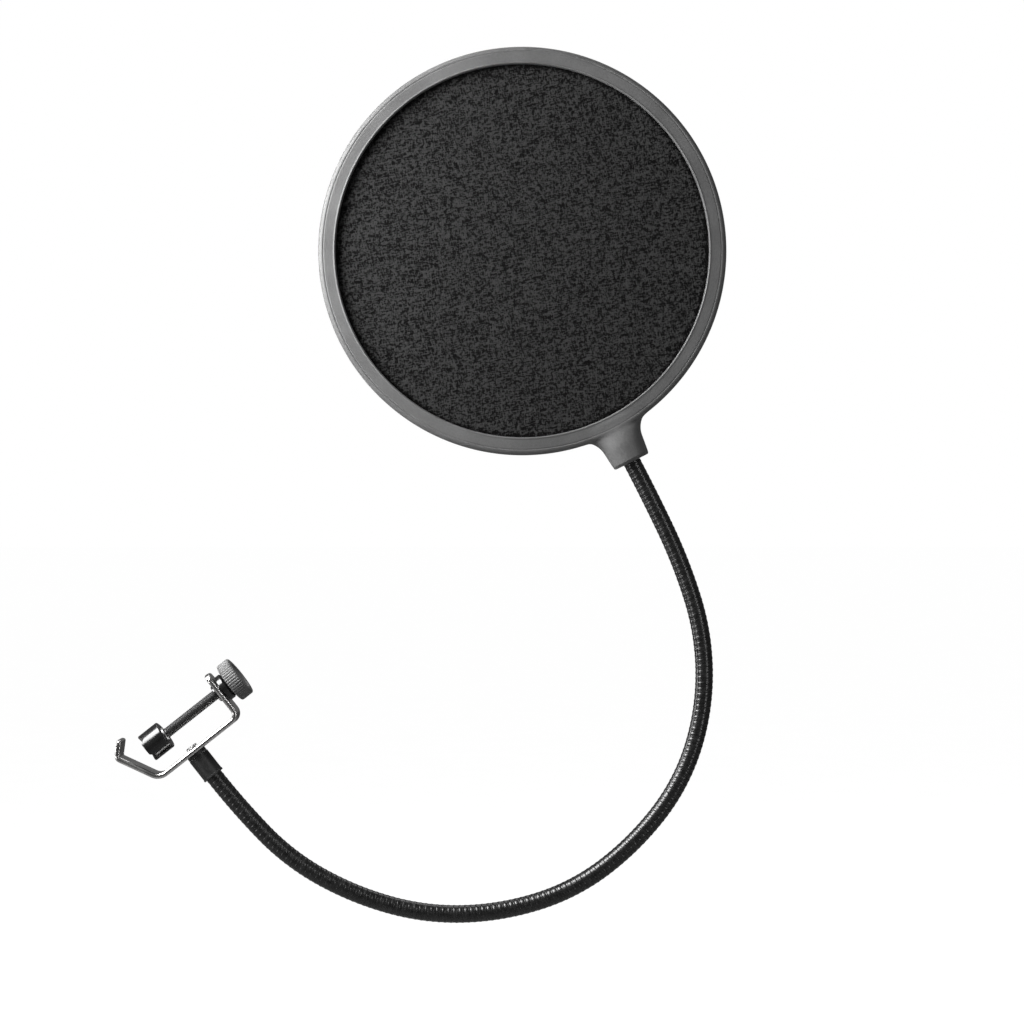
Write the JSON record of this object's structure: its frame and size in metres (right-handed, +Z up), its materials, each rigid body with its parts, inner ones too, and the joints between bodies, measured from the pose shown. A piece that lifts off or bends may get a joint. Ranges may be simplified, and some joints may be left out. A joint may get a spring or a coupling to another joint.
{
  "type": "microphone pop filter",
  "caption": "Round double-screen pop filter on a bendable gooseneck, with a swivelling hook-and-screw clamp for a microphone stand.",
  "frame": {"origin": "middle of what the clamp grips, between the hook's V and the pad's face", "axes": "+Z up, hoop faces -Y, hoop to the +X side of the clamp; a gripped tube runs along Y at rest"},
  "size_m": [0.2318, 0.0162, 0.3329],
  "materials": {
    "grey_plastic": "satin moulded ABS, fine grain",
    "screen_mesh": "black nylon mesh, stretched",
    "black_plastic": "matt moulded",
    "gloss_black": "glossy",
    "plated_steel": "bright nickel plating",
    "bare_steel": "zinc-plated",
    "black_steel": "black oxide, semi-gloss",
    "gooseneck_black": "black lacquered winding, semi-gloss"
  },
  "bodies": {
    "clamp": {"clamp_bracket": "plated_steel", "thread_bush": "gloss_black"},
    "pad": {"pad": "gloss_black", "pad_retainer": "bare_steel"},
    "screw": {"clamp_screw": "black_steel", "knob": "grey_plastic"},
    "ferrule": {"clamp_ferrule": "black_steel", "swivel_washer": "black_steel", "swivel_screw": "bare_steel", "gooseneck_link_01": "gooseneck_black"},
    "neck_02": {"gooseneck_link_02": "gooseneck_black"},
    "neck_03": {"gooseneck_link_03": "gooseneck_black"},
    "neck_04": {"gooseneck_link_04": "gooseneck_black"},
    "neck_05": {"gooseneck_link_05": "gooseneck_black"},
    "neck_06": {"gooseneck_link_06": "gooseneck_black"},
    "neck_07": {"gooseneck_link_07": "gooseneck_black"},
    "neck_08": {"gooseneck_link_08": "gooseneck_black"},
    "neck_09": {"gooseneck_link_09": "gooseneck_black"},
    "neck_10": {"gooseneck_link_10": "gooseneck_black"},
    "neck_11": {"gooseneck_link_11": "gooseneck_black"},
    "hoop": {"gooseneck_link_12": "gooseneck_black", "neck_insert": "bare_steel", "hoop_front": "grey_plastic", "hoop_rear": "grey_plastic", "front_screen": "screen_mesh", "rear_screen": "screen_mesh", "spacer_ring": "black_plastic"}
  },
  "joints": [
    {"name": "knob_turn", "type": "hinge", "parent": "pad", "child": "screw", "pos_m": [0.0361, 0, 0.02851], "axis": [0.7848, 0, 0.6198], "range_deg": [0, 11160]},
    {"name": "screw_travel", "type": "slide", "parent": "clamp", "child": "pad", "axis": [0.7848, 0, 0.6198], "range_m": [0, 0.0217]},
    {"name": "clamp_swivel", "type": "hinge", "parent": "clamp", "child": "ferrule", "pos_m": [0.02159, 0, 0.00074], "axis": [0.6198, 0, -0.7848], "range_deg": [-180, 180]},
    {"name": "neck_bend_01", "type": "hinge", "parent": "ferrule", "child": "neck_02", "pos_m": [0.04716, 0, -0.02939], "axis": [0, 1, 0], "range_deg": [-28, 28]},
    {"name": "neck_sway_02", "type": "hinge", "parent": "neck_02", "child": "neck_03", "pos_m": [0.06977, 0, -0.04668], "axis": [0.4985, 0, 0.8669], "range_deg": [-28, 28]},
    {"name": "neck_bend_03", "type": "hinge", "parent": "neck_03", "child": "neck_04", "pos_m": [0.09618, 0, -0.0573], "axis": [0, 1, 0], "range_deg": [-28, 28]},
    {"name": "neck_sway_04", "type": "hinge", "parent": "neck_04", "child": "neck_05", "pos_m": [0.12447, 0, -0.06047], "axis": [-0.0192, 0, 0.9998], "range_deg": [-28, 28]},
    {"name": "neck_bend_05", "type": "hinge", "parent": "neck_05", "child": "neck_06", "pos_m": [0.15246, 0, -0.05548], "axis": [0, 1, 0], "range_deg": [-28, 28]},
    {"name": "neck_sway_06", "type": "hinge", "parent": "neck_06", "child": "neck_07", "pos_m": [0.17761, 0, -0.0422], "axis": [-0.5962, 0, 0.8028], "range_deg": [-28, 28]},
    {"name": "neck_bend_07", "type": "hinge", "parent": "neck_07", "child": "neck_08", "pos_m": [0.19768, 0, -0.02205], "axis": [0, -1, 0], "range_deg": [-28, 28]},
    {"name": "neck_sway_08", "type": "hinge", "parent": "neck_08", "child": "neck_09", "pos_m": [0.21077, 0, 0.00319], "axis": [-0.9489, 0, 0.3156], "range_deg": [-28, 28]},
    {"name": "neck_bend_09", "type": "hinge", "parent": "neck_09", "child": "neck_10", "pos_m": [0.21492, 0, 0.0313], "axis": [0, -1, 0], "range_deg": [-28, 28]},
    {"name": "neck_sway_10", "type": "hinge", "parent": "neck_10", "child": "neck_11", "pos_m": [0.21054, 0, 0.05943], "axis": [-0.9608, 0, -0.2773], "range_deg": [-28, 28]},
    {"name": "neck_bend_11", "type": "hinge", "parent": "neck_11", "child": "hoop", "pos_m": [0.20016, 0, 0.08598], "axis": [0, -1, 0], "range_deg": [-28, 28]}
  ],
  "couplings": [
    {"joint": "knob_turn", "follows": "screw_travel", "rad_per_m": 8976}
  ]
}
